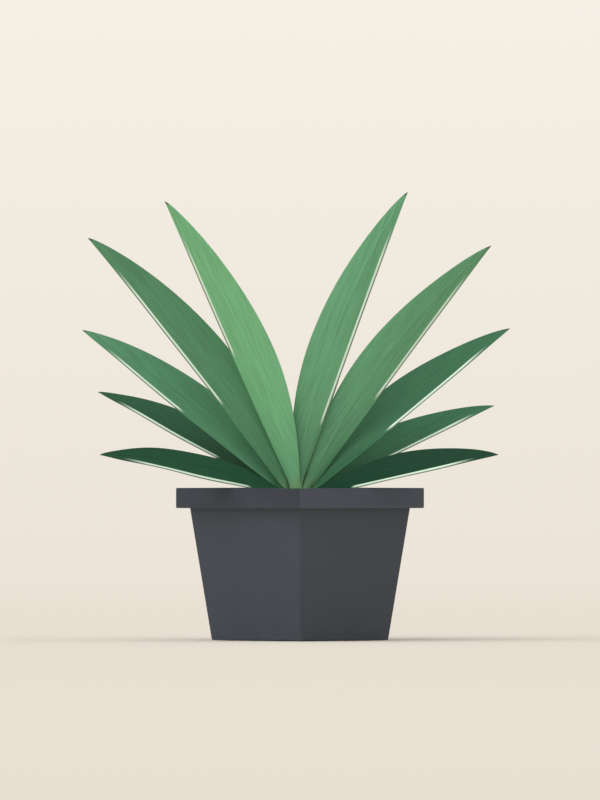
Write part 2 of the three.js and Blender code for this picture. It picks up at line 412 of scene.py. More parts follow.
def drain_cutter(quarter):
    x = DRAIN_REACH * math.cos(quarter * math.pi / 2)
    y = DRAIN_REACH * math.sin(quarter * math.pi / 2)
    rings = [level_circle(x, y, z * MM, radius * MM, DRAIN_SIDES) for z, radius in DRAIN_PROFILE]
    return object_from_rings(f"drain_cutter_{quarter}", np.array(rings))


for quarter in range(4):
    cutter = drain_cutter(quarter)
    drill = planter_mesh.modifiers.new("drain_hole", "BOOLEAN")
    drill.operation = "DIFFERENCE"
    drill.solver = "EXACT"
    drill.object = cutter
    keep_modified(planter_mesh)
    bpy.data.objects.remove(cutter)
print("The planter has", len(planter_mesh.data.vertices), "points")

# %% [markdown]
# Charcoal plastic from a textured mould is matt, with a fine even grain that can be felt but
# hardly seen, faint cloudiness in its colour, and a little dust low on the walls. The grain is
# a bump, because real faces that fine would run to millions. The lip has painted shade on its
# left faces and painted light on its right faces.

# %% Charcoal plastic
WALL_TONE = (59, 66, 77)
CLOUD_TONE = (63, 70, 81)
# The lip's two tones are painted shade on its left faces and painted light on its right faces; the
# plastic itself is one colour there.
LIP_PAINTED_SHADE = (48, 54, 64)
LIP_PAINTED_LIGHT = (69, 75, 88)
SPECK_TONE = (92, 95, 100)
DUST_TONE = (128, 122, 112)
DUST_HEIGHT = 12 * MM  # how far up the walls dust settles
SOFT_EDGE = 0.3 * MM  # half the width of the step from one tone to the next


def charcoal_plastic():
    finish = Finish("charcoal_plastic", IOR=1.46)
    place = finish.place()
    clouds = finish.patchy(place, 22, 4)
    grain = finish.patchy(place, 1500, 3)
    pits = finish.add("TexVoronoi", sockets={"Vector": place, "Scale": 900})
    scuffs = finish.patchy(place, 300, 6)
    sideways = finish.add("SeparateXYZ", sockets={0: place}, output=0)
    height = finish.add("SeparateXYZ", sockets={0: place}, output=2)

    on_lip = height.between(lip_foot - SOFT_EDGE, lip_foot + SOFT_EDGE)
    # Painted light and shade: the lip's left faces get the darker tone and its right faces the
    # lighter one.
    painted_light_side = sideways.between(-SOFT_EDGE, SOFT_EDGE)
    lip = finish.mix(painted_light_side, tone(*LIP_PAINTED_SHADE), tone(*LIP_PAINTED_LIGHT))
    plastic = finish.mix(on_lip, tone(*WALL_TONE), lip)
    clouded = finish.mix(clouds.between(0.3, 0.7) * 0.5, plastic, tone(*CLOUD_TONE))
    speckled = finish.mix(grain.between(0.52, 0.75) * 0.12, clouded, tone(*SPECK_TONE))
    dust = (1 - height.between(0, DUST_HEIGHT)) * scuffs.between(0.5, 0.75) * 0.12
    colour = finish.mix(dust, speckled, tone(*DUST_TONE))
    relief = grain * 0.6 + pits * 0.4
    bump = finish.add("Bump", sockets={"Strength": 0.25, "Distance": 0.2 * MM, "Height": relief})
    roughness = 0.5 + clouds * 0.08 + grain * 0.08 + dust * 0.4
    return finish.paint(Base_Color=colour, Roughness=roughness, Normal=bump)


settle(planter_mesh, charcoal_plastic(), "charcoal_plastic", "planter")
print("The planter is finished in charcoal plastic")

# %% [markdown]
# ## The potting soil
# Potting soil is fine dark peat with lumps, shreds of bark and white grains of perlite. A
# displaced sheet gives the fine peat its uneven top. The rest are little solids strewn over
# it, because only real shapes cast the small shadows that make soil look loose.

# %% Soil surface
SOIL_MOUND = 1.6 * MM  # rise of the packed soil from the wall to the cane
SOIL_RISE = 1.4 * MM  # the same on the rough bed
SETTLED = 0.6 * MM  # how far watering has settled the bed
SOIL_CLEARANCE = 0.4 * MM
SOIL_GRID = 110  # points along each side of the bed
# The height, width and noise layer of each kind of roughness.
SOIL_ROUGHNESS = ((0.9 * MM, 7 * MM, 0.3), (0.45 * MM, 2.2 * MM, 0.7))

soil_low, soil_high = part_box("potting_soil")
soil_bottom = soil_low.z
soil_edge = soil_high.z - SOIL_MOUND
soil_half = half_from_reach(soil_high.x, inner_corner)
soil_reach = soil_half * math.sqrt(2)
_, cane_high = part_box("cane_with_roots")
cane_x = -1.5 * MM  # the cane stands a little left of the middle


def soil_height(x, y):
    """The soil rises gently to the cane, and is rough at two scales."""
    share = (abs(x) + abs(y)) / soil_reach
    rough = sum(
        rise * noise.noise(Vector((x, y, layer)) / width) for rise, width, layer in SOIL_ROUGHNESS
    )
    calm_at_wall = min(1, 6 * (1 - share) + 0.2)
    return soil_edge - SETTLED + SOIL_RISE * (1 - share) + rough * calm_at_wall


def soil_top(count):
    """A square sheet of count x count points, turned corner-on."""
    shares = np.linspace(-1, 1, count)
    diagonal = soil_reach * 0.998
    flat = [((u - v) / 2 * diagonal, (u + v) / 2 * diagonal) for u in shares for v in shares]
    points = [(x, y, soil_height(x, y)) for x, y in flat]
    faces = []
    for i in range(count - 1):
        for j in range(count - 1):
            corner = i * count + j
            faces.append((corner, corner + count, corner + count + 1, corner + 1))
    return points, faces


def sheet_border(count):
    """The numbers of the points round the edge of that sheet."""
    last = count - 1
    border = [i * count for i in range(count)]
    border += [last * count + j for j in range(1, count)]
    border += [i * count + last for i in range(last - 1, -1, -1)]
    return border + list(range(last - 1, 0, -1))


def soil_body():
    """The rough top, with sides that go down to a flat bottom inside the walls."""
    points, faces = soil_top(SOIL_GRID)
    border = sheet_border(SOIL_GRID)
    foot_share = (outer_half(soil_bottom) - wall - SOIL_CLEARANCE) / soil_half
    start = len(points)
    for index in border:
        x, y, _ = points[index]
        points.append((x * foot_share, y * foot_share, soil_bottom))
    for i, index in enumerate(border):
        following = (i + 1) % len(border)
        faces.append((index, start + i, start + following, border[following]))
    faces.append(tuple(start + i for i in range(len(border))))
    return object_from_mesh("potting_soil_bed", points, faces)


soil_mesh = soil_body()
print(f"The soil's surface is at {soil_edge / MM:.1f} mm, under a rim at {pot_height / MM:.1f} mm")

# %% [markdown]
# The loose solids are small balls, flattened, stretched and dented by noise. A loop with
# seeded random numbers, unlike a particle system, keeps them clear of the cane and walls.

# %% Loose solids on the soil
CLEAR_OF_CANE = 8.5 * MM
LARGEST_TILT = 0.35  # as a slope
LUMP_WIDTHS = (0.45, 0.9)  # the narrowest and the widest, as shares of a lump's length


def lump_template(subdivisions):
    """Points and faces of a ball made of even triangles."""
    ball = bmesh.new()
    bmesh.ops.create_icosphere(ball, subdivisions=subdivisions, radius=1)
    points = np.array([vertex.co[:] for vertex in ball.verts])
    faces = [tuple(vertex.index for vertex in face.verts) for face in ball.faces]
    ball.free()
    return points, faces


def strewn(name, seed, count, sizes, flatness, roughness, sink):
    """Little solids at random places on the soil. sizes and flatness are (smallest, largest)."""
    chance = random.Random(seed)
    template, template_faces = lump_template(2)
    all_points = []
    all_faces = []
    while len(all_faces) < count * len(template_faces):
        x, y = (chance.uniform(-1, 1) * soil_reach for _ in range(2))
        size = chance.uniform(*sizes) * MM / 2
        from_cane = math.hypot(x - cane_x, y)
        if abs(x) + abs(y) > soil_reach - 2.4 * size or from_cane < CLEAR_OF_CANE + size:
            continue
        shape = Vector((1, chance.uniform(*LUMP_WIDTHS), chance.uniform(*flatness)))
        offset = Vector((chance.uniform(0, 99), chance.uniform(0, 99), 0))
        spin = chance.uniform(0, 2 * math.pi)
        tilt = chance.uniform(-LARGEST_TILT, LARGEST_TILT)
        start = len(all_points)
        height = soil_height(x, y) - sink * size * shape.z
        for corner in template:
            point = Vector(corner)
            point *= 1 + roughness * noise.noise(point * 1.7 + offset)
            point = point * shape * size
            point.z += point.x * tilt
            all_points.append((
                x + point.x * math.cos(spin) - point.y * math.sin(spin),
                y + point.x * math.sin(spin) + point.y * math.cos(spin),
                height + point.z,
            ))
        all_faces.extend(tuple(start + corner for corner in face) for face in template_faces)
    return object_from_mesh(name, all_points, all_faces)


peat_lumps = strewn("peat_lumps", 3, 900, (1.2, 4.2), (0.5, 0.9), 0.9, 0.1)
bark_shreds = strewn("bark_shreds", 8, 190, (3.5, 9), (0.16, 0.3), 0.7, -0.6)
perlite_grains = strewn("perlite_grains", 21, 70, (1.4, 3.2), (0.7, 1), 0.5, 0)
for loose_pieces in (peat_lumps, bark_shreds, perlite_grains):
    print(loose_pieces.name, "has", len(loose_pieces.data.vertices), "points")

# %% [markdown]
# Moist peat is nearly black-brown and quite matt. Bark is redder, and perlite is an
# off-white, crumbly glass foam. All three have two tones in patches, with crumbs raised by a
# bump, so one function makes them all.


# %% Soil materials
def earthy(name, dark, light, scale, depth, roughness):
    finish = Finish(name, IOR=1.4)
    place = finish.place()
    patches = finish.patchy(place, scale, 8)
    crumbs = finish.add("TexVoronoi", sockets={"Vector": place, "Scale": scale * 6})
    colour = finish.mix(patches.between(0.35, 0.68), tone(*dark), tone(*light))
    relief = patches + crumbs * 0.5
    bump = finish.add("Bump", sockets={"Strength": 0.8, "Distance": depth, "Height": relief})
    return finish.paint(Base_Color=colour, Roughness=roughness + patches * 0.15, Normal=bump)


peat = earthy("moist_peat", (34, 25, 18), (66, 50, 37), 260, 0.6 * MM, 0.82)
bark = earthy("bark", (62, 38, 24), (118, 84, 58), 420, 0.4 * MM, 0.7)
perlite = earthy("perlite", (196, 190, 178), (232, 228, 218), 600, 0.3 * MM, 0.75)
settle(soil_mesh, peat, "potting_soil", "potting_soil")
settle(peat_lumps, peat, "potting_soil")
settle(bark_shreds, bark, "potting_soil")
settle(perlite_grains, perlite, "potting_soil")
print("The soil has three finishes: peat, bark and perlite")

# %% [markdown]
# ## The cane and its roots
# The cane is one woody stem. Every leaf that has dropped left a ring round it, and its roots
# grow from its buried end. The parts are swept tubes, and a voxel remesh melts them into one
# skin, so that the roots flow out of the cane. A Boolean union would leave a hard seam.

# %% Tubes for the cane
CANE_RADIUS = 6.6 * MM
CANE_FOOT = 48.5 * MM  # height of the buried end
# Height in mm, and the radius there as a share of CANE_RADIUS. The cane narrows in the crown.
CANE_PROFILE = (
    (48, 0.55), (56, 0.85), (80, 1), (94, 1.04), (99, 1), (103, 0.7), (108, 0.42), (114, 0.27),
)
ROOT_COUNT = 6
FIRST_ROOT = 0.35  # bearing of the first root, as a share of the angle between roots
ROOT_STARTS = (54, 59)  # heights in mm where successive roots start, in turn
ROOT_DROPS = (16, 23, 30)  # mm that successive roots fall on their way out, in turn
ROOT_REACH = 26 * MM
ROOT_RADIUS = 2.2 * MM
ROOT_CURL = 0.5  # how far a root turns aside on its way out, in radians
TUBE_SIDES = 20


def tube(name, places, radii):
    """A round tube through places, as an object. Each place has its own radius."""
    places = np.array(places)
    directions = np.gradient(places, axis=0)
    directions /= np.linalg.norm(directions, axis=1, keepdims=True)
    turns = np.linspace(0, 2 * math.pi, TUBE_SIDES, endpoint=False)
    rings = []
    for place, direction, radius in zip(places, directions, radii):
        across = np.cross((0, 1, 0), direction)
        if np.linalg.norm(across) < 0.1:
            across = np.array((1.0, 0, 0))
        across /= np.linalg.norm(across)
        third = np.cross(direction, across)
        rings.append(place + radius * (
            np.outer(np.cos(turns), across) + np.outer(np.sin(turns), third)
        ))
    return object_from_rings(name, np.array(rings))


def cane_radius(height):
    heights, shares = np.array(CANE_PROFILE).T
    return CANE_RADIUS * float(np.interp(height, heights * MM, shares))


def cane_tube():
    heights = np.linspace(CANE_FOOT, cane_high.z, 40)
    return tube("cane", [(cane_x, 0, z) for z in heights], [cane_radius(z) for z in heights])


def root_tube(number):
    """A root runs outward from the cane, falls, and turns aside as it thins."""
    bearing = (number + FIRST_ROOT) / ROOT_COUNT * 2 * math.pi
    start = ROOT_STARTS[number % len(ROOT_STARTS)] * MM
    drop = ROOT_DROPS[number % len(ROOT_DROPS)] * MM
    shares = np.linspace(0.1, 1, 16)
    places = [
        (
            cane_x + ROOT_REACH * share * math.cos(bearing + ROOT_CURL * share),
            ROOT_REACH * share * math.sin(bearing + ROOT_CURL * share),
            start - drop * share * share,
        )
        for share in shares
    ]
    return tube("root", places, [ROOT_RADIUS * (1.05 - 0.65 * share**1.5) for share in shares])


print(f"At the soil's surface the cane is {2 * cane_radius(soil_edge) / MM:.1f} mm thick")

# %% Melt them together and press the rings in
VOXEL = 0.55 * MM
SCAR_SPACING = 3.1  # mm between the rings that dropped leaves left
SCAR_DEPTH = 0.22 * MM
FIBRE_RELIEF = 0.1 * MM


def joined(parts, name):
    points = []
    faces = []
    for part in parts:
        start = len(points)
        points.extend(vertex.co[:] for vertex in part.data.vertices)
        faces.extend(tuple(start + i for i in face.vertices) for face in part.data.polygons)
        bpy.data.objects.remove(part)
    return object_from_mesh(name, points, faces)


def press_leaf_scars(mesh):
    """Rings round the cane, which fade out on the roots, and fine fibres everywhere."""
    for vertex in mesh.vertices:
        outward = Vector((vertex.co.x - cane_x, vertex.co.y, 0))
        radius = outward.length
        if radius < 1e-6:
            continue
        wander = noise.noise(vertex.co / (6 * MM))
        wave = math.cos((vertex.co.z / MM + 0.6 * wander) * 2 * math.pi / SCAR_SPACING)
        ring = -SCAR_DEPTH * max(0, wave) ** 3
        fibre = FIBRE_RELIEF * noise.noise(Vector((vertex.co.x, vertex.co.y, vertex.co.z * 0.2)) / MM)
        on_cane = float(smoothstep(11 * MM, 7.5 * MM, radius))
        vertex.co += outward / radius * (ring * on_cane + fibre - FIBRE_RELIEF)


cane_mesh = joined([cane_tube()] + [root_tube(n) for n in range(ROOT_COUNT)], "cane_and_roots")
melt = cane_mesh.modifiers.new("melt", "REMESH")
melt.mode = "VOXEL"
melt.voxel_size = VOXEL
keep_modified(cane_mesh)
press_leaf_scars(cane_mesh.data)
print("The cane has", len(cane_mesh.data.vertices), "points")

# %% [markdown]
# The bark of the cane is pale and fibrous, and turns green where it is still growing. Noise
# stretched along the height makes the fibres.

# %% Cane material
BARK_DARK = (112, 94, 66)
BARK_LIGHT = (164, 146, 110)
BARK_PATCH = (96, 86, 60)
YOUNG_STEM = (150, 178, 112)
BARK_ENDS = (103 * MM, 110 * MM)  # the heights between which bark turns into green stem


def cane_bark():
    finish = Finish("cane_bark", IOR=1.4)
    place = finish.place()
    stretched = finish.add("Mapping", sockets={"Vector": place, "Scale": (1, 1, 0.15)})
    fibres = finish.patchy(stretched, 900, 5)
    patches = finish.patchy(place, 180, 4)
    height = finish.add("SeparateXYZ", sockets={0: place}, output=2)
    woody = finish.mix(fibres.between(0.3, 0.7), tone(*BARK_DARK), tone(*BARK_LIGHT))
    mottled = finish.mix(patches.between(0.5, 0.72) * 0.6, woody, tone(*BARK_PATCH))
    colour = finish.mix(height.between(*BARK_ENDS), mottled, tone(*YOUNG_STEM))
    bump = finish.add("Bump", sockets={"Strength": 0.6, "Distance": 0.3 * MM, "Height": fibres})
    return finish.paint(Base_Color=colour, Roughness=0.6 + patches * 0.2, Normal=bump)


settle(cane_mesh, cane_bark(), "cane_bark", "cane_with_roots")
print("The cane turns from bark to green just under the crown")

# %% [markdown]
# ## The leaves
# A dracaena's leaf is a long strap that clasps the cane, widens quickly and runs out to a
# fine point. It is a shallow channel with a crease down the middle, low pleats along the
# veins and a margin that waves a little. Each blade is built from a few numbers, and starts
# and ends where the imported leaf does. Modelling it as a grid gives real pleats and a real
# edge instead of a flat card.

# %% Leaf sizes and colours
BASE_WIDTH_SHARE = 0.15  # width where the blade leaves the cane, as a share of the widest
WIDEST_AT = 0.47
TIP_FULLNESS = 0.8  # below 1, the half towards the tip is fuller than the half below
STATIONS = 110
STRIPS = 44

# A sweep above 1 lets the leaf rise first and lean over later. The bow is how far the lower
# edge sags below a straight line. A negative turn shows the underside.
# name: (width in mm, turn in degrees, sweep, bow in mm, where the cream line starts, colour)
# The colours are partly each leaf's own green and partly painted shade: the lowest leaves are painted
# darkest.
FRONT_LEAVES = {
    "leaf_left_1": (31.2, -21, 1.6, 1.5, 0.47, (121, 188, 136)),
    "leaf_left_2": (32.4, 26, 2.0, -0.8, 0.355, (85, 141, 101)),
    "leaf_left_3": (31.9, 38, 1.5, 2.7, 0.515, (84, 142, 104)),
    "leaf_left_4": (29.0, 46, 1.3, 1.6, 0.345, (33, 88, 57)),
    "leaf_left_5": (27.2, 53, 1.25, 1.4, 0.24, (28, 81, 53)),
    "leaf_right_1": (29.0, -4, 1.2, -0.4, 0.225, (104, 164, 120)),
    "leaf_right_2": (29.4, -14, 2.8, 0, 0.385, (101, 161, 118)),
    "leaf_right_3": (31.4, 38, 1.4, 2.3, 0.39, (54, 111, 75)),
    "leaf_right_4": (29.0, 44.7, 1.3, 1.6, 0.38, (55, 114, 77)),
    "leaf_right_5": (28.0, 52.4, 1.25, 2.1, 0.27, (8, 64, 39)),
    "leaf_back_1": (21.0, 20, 1.5, 0, 0.4, (84, 136, 98)),
    "leaf_back_2": (21.0, 20, 1.5, 0, 0.4, (90, 142, 102)),
}
# name: (width in mm, arch in mm, colour). These lie face up and lean straight back.
# These greens carry painted shade too, as the leaves above would cast it.
ARCHING_LEAVES = {
    "leaf_back_3": (27.0, 16, (54, 104, 73)),
    "leaf_back_4": (27.0, 20, (40, 90, 60)),
    "leaf_back_5": (26.0, 16, (56, 108, 76)),
}


def width_share(t):
    """Width at t, from 0 at the cane to 1 at the tip, as a share of the widest."""
    power = math.log(0.5) / math.log(WIDEST_AT)
    swell = np.clip(np.sin(np.pi * np.clip(t, 0, 1) ** power), 0, 1)
    fuller = np.where(t > WIDEST_AT, swell**TIP_FULLNESS, swell)
    return fuller + BASE_WIDTH_SHARE * (1 - t) ** 3


def leaf_ends(name):
    """Where a packed leaf leaves the cane, and its tip: the ten nearest and farthest corners."""
    node = frame["nodes"][name]
    corners = np.array([vertex.co[:] for vertex in node.data.vertices])
    corners = np.unique(corners.round(6), axis=0)
    from_crown = np.linalg.norm(corners - (cane_x, 0, 100 * MM), axis=1)
    order = np.argsort(from_crown)
    return corners[order[:10]].mean(axis=0), corners[order[-10:]].mean(axis=0)


start, end = leaf_ends("leaf_left_1")
print("leaf_left_1 runs from", (start / MM).round(1), "to", (end / MM).round(1))

# %% [markdown]
# The middle of a blade follows a bowed line. The directions across it and out of its face
# come from the line and from the blade's turn, so a leaf can turn without moving its ends.


# %% The line that a blade follows
def unit(vectors):
    return vectors / np.linalg.norm(vectors, axis=-1, keepdims=True)


def blade_line(base, tip, turn, sweep, arch, faces_front):
    """Places along the blade, and the directions along it, across it and out of its face."""
    t = np.linspace(0, 1, STATIONS)[:, None]
    up = np.array((0, 0, 1.0))
    back = np.array((0, 1.0, 0))
    chord = tip - base
    flat_chord = unit(chord * (1, 0 if faces_front else 1, 1))
    rise = unit(up - up.dot(flat_chord) * flat_chord)
    sideways = back if faces_front else np.cross(flat_chord, up)
    line = base + chord * t
    line = line + rise * arch * (width_share(t) - BASE_WIDTH_SHARE * (1 - t))
    line = line + back * chord[1] * (t**sweep - t)
    along = unit(np.gradient(line, axis=0))
    in_plane = unit(rise - along * (along @ rise)[:, None])
    out_of_plane = np.cross(along, in_plane)
    out_of_plane *= np.sign(out_of_plane @ sideways)[:, None]
    across = in_plane * math.cos(turn) + out_of_plane * math.sin(turn)
    face = in_plane * math.sin(turn) - out_of_plane * math.cos(turn)
    return line, along, across, face if turn >= 0 else -face


print(f"From end to end leaf_left_1 measures {np.linalg.norm(end - start) / MM:.0f} mm")

# %% [markdown]
# Across the blade the relief is a sum of simple shapes: a curl like a gutter, low pleats, a
# crease, and a wave that only the margins have. Formulas, unlike a displaced strip, keep it
# tied to the leaf's own length and width. At the cane the blade bends round into a sheath.

# %% Relief of a blade
OPEN_ROLL = 14  # degrees that each half of an open blade curls up
CLASP_ROLL = 16  # degrees more at the base
CLASP_LENGTH = 0.05  # how quickly that opens, as a share of the blade's length
MARGIN_WAVE = 0.45 * MM
PLEAT_HEIGHT = 0.06 * MM
PLEATS = 6  # in each half of the blade
CREASE_DEPTH = 0.4 * MM
CREASE_WIDTH = 0.09  # as a share of half the blade's width
UNDER_CREASE = 1.3  # how much deeper the crease is on the underside
FINEST_TIP = 0.12 * MM  # half the width at the very tip
EDGE_HALF = 0.09 * MM  # half the thickness at the margin
BODY_HALF = 0.32 * MM  # added in the middle
THINNING = 0.14 * MM  # lost from that at the tip
BASE_HALF = 0.25 * MM  # added to it at the base


def blade_relief(t, s, half, seed):
    """How far points lie across the blade and out of its face, its crease and its thickness.

    t goes from 0 at the cane to 1 at the tip, and s from -1 at one margin to 1 at the other.
    """
    open_part = smoothstep(0.02, 0.2, t) * smoothstep(1, 0.85, t)
    roll = np.radians(OPEN_ROLL + CLASP_ROLL * np.exp(-t / CLASP_LENGTH))
    aside = half * np.sin(roll * s) / roll
    curl = half * (1 - np.cos(roll * s)) / roll
    wave = np.sin(2 * math.pi * (2.1 * t + seed % 10 / 10)) + 0.6 * np.sin(13 * t + seed)
    pleats = PLEAT_HEIGHT * np.cos(2 * math.pi * PLEATS * s)
    lift = curl + (MARGIN_WAVE * wave * s**2 + pleats) * open_part
    crease = CREASE_DEPTH * np.exp(-((s / CREASE_WIDTH) ** 2)) * open_part
    thick = EDGE_HALF + (BODY_HALF - THINNING * t + BASE_HALF * (1 - t) ** 4) * (1 - s**2)
    return aside, lift, crease, thick


# %% Where a leaf clasps the cane
SHEATH_SHARE = 0.045  # how much of the blade is sheath
SHEATH_DROP = 5 * MM  # how far the sheath reaches below the blade's base
LOWEST_SHEATH = 98.9 * MM  # just above the soil
SHEATH_GAP = 0.35 * MM
SHEATH_WRAP = 78  # degrees that each half of the sheath goes round the cane
SHEATH_OPENING = 30  # degrees that it has opened where the blade begins
SHEATH_DIP = 1.5 * MM  # how much lower its margins start than its middle


def wrap_round_cane(base, t, s, thick, along, across, face, upper, lower):
    """Bends the first stations of a blade round the cane, as a leaf's sheath does."""
    stations = int((t < SHEATH_SHARE).sum())
    bearing = math.atan2(base[1], base[0] - cane_x)
    reach = math.hypot(base[1], base[0] - cane_x)
    inward = -np.array((math.cos(bearing), math.sin(bearing), 0))
    tangent = np.array((-math.sin(bearing), math.cos(bearing), 0))
    hand = np.sign(np.linalg.det([across, along, face]))
    hand *= np.sign(np.linalg.det([tangent, (0, 0, 1), inward]))
    foot = max(base[2] - SHEATH_DROP, LOWEST_SHEATH)
    for i in range(stations):
        share = i / stations
        height = foot + (base[2] - foot) * share
        skin = cane_radius(height) + SHEATH_GAP
        radius = max(skin, skin + (reach - skin) * share)
        angles = bearing + hand * s[0] * math.radians(SHEATH_WRAP - SHEATH_OPENING * share)
        blend = smoothstep(1, 0.15, share)
        for skin_points, side in ((upper, -1), (lower, 1)):
            radii = radius + side * thick[i]
            sheath = np.stack([
                cane_x + radii * np.cos(angles),
                radii * np.sin(angles),
                np.full(angles.shape, height) - SHEATH_DIP * (1 - share) * s[0] ** 2,
            ], axis=1)
            skin_points[i] = skin_points[i] * (1 - blend) + sheath * blend


# %% One blade
def both_skins(upper, lower):
    """At each station, over the upper skin and back along the lower one."""
    return np.concatenate([upper, lower[:, -2:0:-1]], axis=1)


def blade(name, width, turn, sweep, bow=0, arch=None):
    """A leaf as a closed solid: an upper and a lower skin that meet at the margins."""
    seed = sum(ord(letter) for letter in name)
    faces_front = arch is None
    turn = math.radians(turn)
    base, tip = leaf_ends(name)
    rise_by = width * math.cos(turn) / 2 - bow if faces_front else arch
    line, along, across, face = blade_line(base, tip, turn, sweep, rise_by, faces_front)
    t = np.linspace(0, 1, STATIONS)[:, None]
    s = np.sin(np.linspace(-1, 1, STRIPS + 1) * math.pi / 2)[None, :]
    half = np.maximum(FINEST_TIP, width * width_share(t) / 2)

    aside, lift, crease, thick = blade_relief(t, s, half, seed)
    middle = line[:, None] + across[:, None] * aside[..., None]
    upper = middle + face[:, None] * (lift + thick - crease)[..., None]
    lower = middle + face[:, None] * (lift - thick - UNDER_CREASE * crease)[..., None]
    wrap_round_cane(base, t, s, thick, along[0], across[0], face[0], upper, lower)

    shape = upper.shape[:2]
    measures = {"along": t, "across": s, "from_edge": (s + 1) * half / MM}
    measures = {key: np.broadcast_to(value, shape) for key, value in measures.items()}
    attributes = {key: both_skins(value, value) for key, value in measures.items()}
    attributes["underside"] = both_skins(np.zeros(shape), np.ones(shape))
    return object_from_rings(name + "_blade", both_skins(upper, lower), attributes)


# %% [markdown]
# A living leaf is never one flat green. Veins run along it about a millimetre apart, darker
# and lighter streaks follow them, the crease is paler, and old leaves dry to a dark point.
# This kind has a cream line just inside its lower margin, with a thin grey-green rim outside
# it. The leaf is waxy with a soft sheen, and its underside is a little more matt. Patterns
# that follow the mesh's own measures, along the leaf and from its edge, fit every leaf.

# %% Leaf material
VEIN_SPACING = 1.1  # mm
CREAM_TONE = (226, 248, 228)
RIM_TONE = (114, 128, 106)
PALE_FOOT = (158, 186, 128)  # where the blade was shaded by older leaves
DRY_TIP = (78, 84, 54)
RIM_ENDS = (0.8, 1.05)  # mm from the margin where the rim turns into the cream line
CREAM_ENDS = (2.3, 2.6)  # mm from the margin where the cream line turns into green
CREAM_FADES = (0.76, 0.9)  # how far along the leaf it fades out


def leaf_finish(name, colour, shows_underside, seed, cream_from=None, slant=0):
    """cream_from is where along the leaf the cream line starts, or None.

    slant is how far the leaf is turned from the front. The further it is, the wider the line,
    so that it looks as wide from there.
    """
    finish = Finish(name, IOR=1.38)
    along, across, from_edge, underside = (
        finish.add("Attribute", {"attribute_name": key}, output=2)
        for key in ("along", "across", "from_edge", "underside")
    )

    def shade(share):
        return tone(*(min(255, value * share) for value in colour))

    grid = finish.add("CombineXYZ", sockets={0: from_edge * 0.8, 1: along * 7, 2: seed})
    streaks = finish.patchy(grid, 1, 5)
    clouds = finish.patchy(finish.place(), 28, 3)
    veins = (from_edge * (2 * math.pi / VEIN_SPACING)).sine() * 0.5 + 0.5
    rib = 1 - across.size().between(0.01, 0.07)
    hidden_side = 1 - underside if shows_underside else underside

    green = finish.mix(streaks.between(0.3, 0.7), shade(0.94), shade(1.06))
    green = finish.mix(veins * 0.3, green, shade(0.93))
    green = finish.mix(clouds.between(0.35, 0.75) * 0.4, green, shade(1.05))
    green = finish.mix(rib * 0.35, green, shade(1.12))
    green = finish.mix(hidden_side * 0.6, green, shade(0.86 if shows_underside else 1.1))

    if cream_from is not None:
        starts = along.between(cream_from - 0.02, cream_from + 0.02)
        stretch = starts * (1 - along.between(*CREAM_FADES))
        from_margin = from_edge * math.cos(math.radians(slant))
        inside_rim = from_margin.between(*RIM_ENDS)
        cream = inside_rim * (1 - from_margin.between(*CREAM_ENDS)) * stretch
        green = finish.mix(cream * 0.95, green, tone(*CREAM_TONE))
        green = finish.mix((1 - inside_rim) * stretch * 0.9, green, tone(*RIM_TONE))
    dry = along.between(0.982, 0.993)
    green = finish.mix((1 - along.between(0, 0.07)) * 0.5, green, tone(*PALE_FOOT))
    green = finish.mix(dry * 0.85, green, tone(*DRY_TIP))

    relief = veins * 0.5 + streaks * 0.6
    bump = finish.add("Bump", sockets={"Strength": 0.25, "Distance": 0.25 * MM, "Height": relief})
    roughness = 0.5 + streaks * 0.12 + underside * 0.12 + dry * 0.2
    return finish.paint(Base_Color=green, Roughness=roughness, Normal=bump)


print("The cream line in linear light:", [round(c, 2) for c in tone(*CREAM_TONE)])

# %% [markdown]
# Leaves of different ages differ a little, so each gets its own green, and its own streaks
# from a seed that grows from leaf to leaf. Much of the difference between the greens is
# painted shade: the lowest leaves are painted darkest, where shade falls on them.

# %% Grow all the leaves
SEED_STEP = 3.7
ARCHING_SEED = 50
ARCHING_CREAM = 0.3
slot_of = {part["node"]: part["material_slot"] for part in frame["record"]["subparts"]}

for number, (name, shape) in enumerate(FRONT_LEAVES.items()):
    width, turn, sweep, bow, cream_from, colour = shape
    piece = blade(name, width * MM, turn, sweep, bow * MM)
    seed = number * SEED_STEP
    green = leaf_finish(name + "_green", colour, turn < 0, seed, cream_from, turn)
    settle(piece, green, slot_of[name], name)

for number, (name, (width, arch, colour)) in enumerate(ARCHING_LEAVES.items()):
    piece = blade(name, width * MM, 90, 1, arch=arch * MM)
    seed = ARCHING_SEED + number * SEED_STEP
    green = leaf_finish(name + "_green", colour, False, seed, ARCHING_CREAM)
    settle(piece, green, slot_of[name], name)
print("Leaves grown:", len(FRONT_LEAVES) + len(ARCHING_LEAVES))

# %% [markdown]
# The youngest leaf is still rolled up in the middle of the crown, like a paper cone. Its
# section is a spiral, because a plain cone would look like a thorn.

# %% The rolled spear
SPEAR_RADIUS = 2.45 * MM
SPEAR_PLACES = (0, 0.2, 0.5, 0.8, 1)
SPEAR_SHARES = (0.85, 1, 0.82, 0.46, 0.12)  # its radius there, as a share of SPEAR_RADIUS
SPEAR_TURNS = 1.45  # how often the leaf is wound round itself
SPEAR_TWIST = 2.2  # how far its free edge winds from foot to tip, in radians
SPEAR_THICKNESS = 0.16  # as a share of the radius
SPEAR_WIDTH = 20  # mm from margin to margin, for the veins
SPEAR_GREEN = (140, 190, 132)
SPEAR_SEED = 91.3


